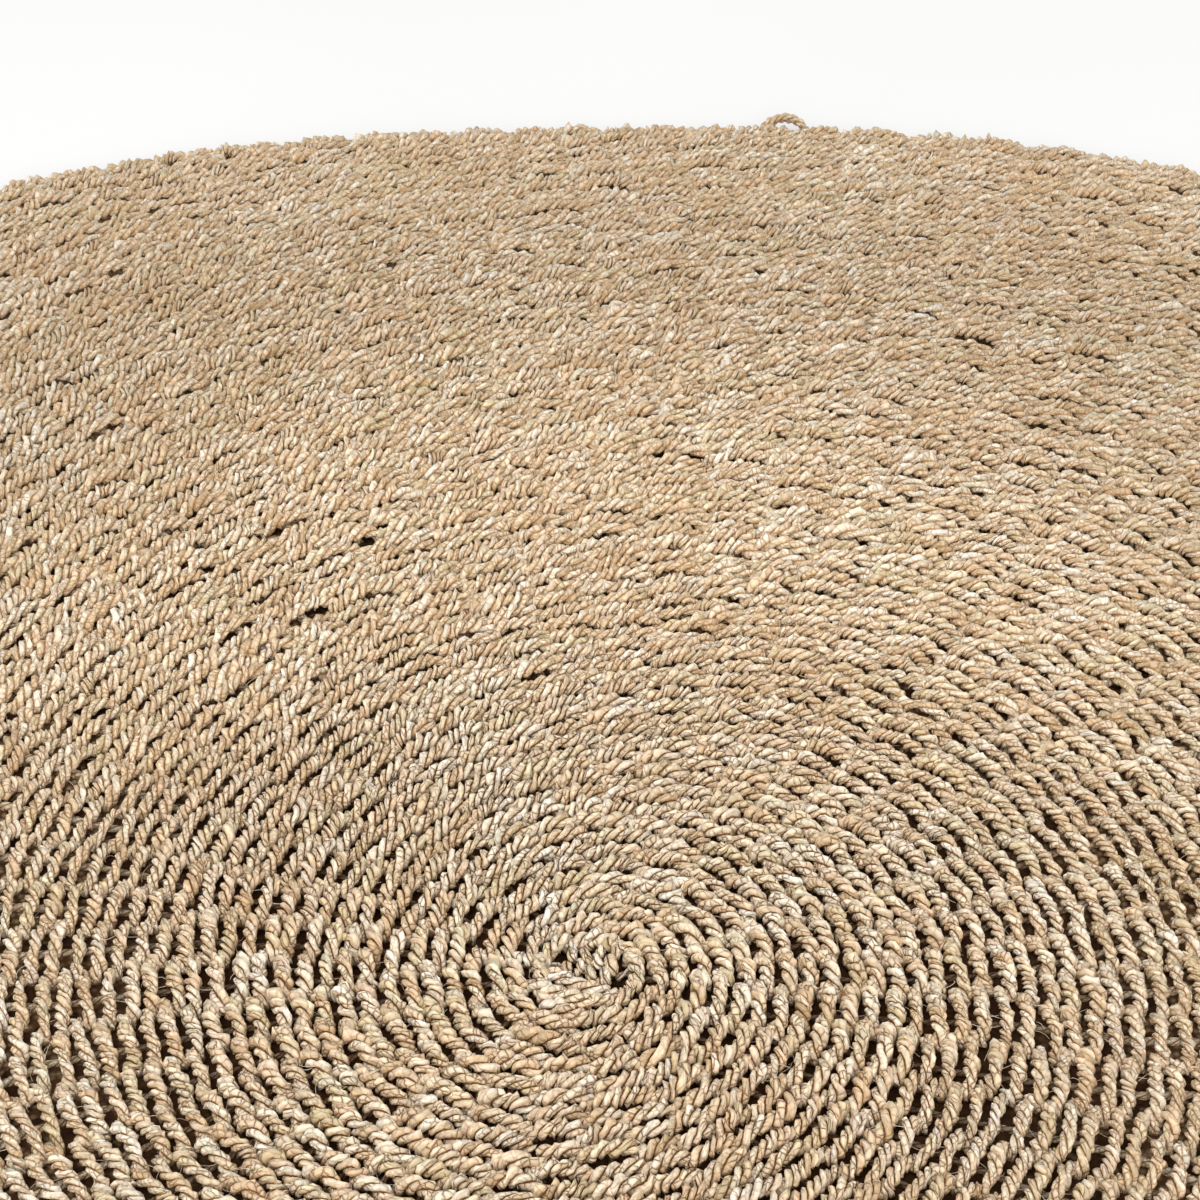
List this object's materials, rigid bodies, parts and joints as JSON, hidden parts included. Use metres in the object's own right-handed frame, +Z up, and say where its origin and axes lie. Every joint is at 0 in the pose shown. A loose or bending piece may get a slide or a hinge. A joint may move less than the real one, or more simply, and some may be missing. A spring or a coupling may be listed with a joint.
{
  "type": "round woven rug",
  "caption": "Round flat rug of twisted plant-fibre cord, twined in rings over radial spokes, with a softly scalloped edge.",
  "frame": {"origin": "middle of the underside, on the plane the rug lies on", "axes": "+Z up out of the top face; +Y away from the viewer of the picture, +X to the viewer's right"},
  "size_m": [1.5112, 1.4872, 0.0145],
  "materials": {
    "fibre": "dry twisted plant-fibre cord, matte with a slight leaf sheen"
  },
  "bodies": {
    "root": {"rug": "fibre"}
  },
  "joints": []
}
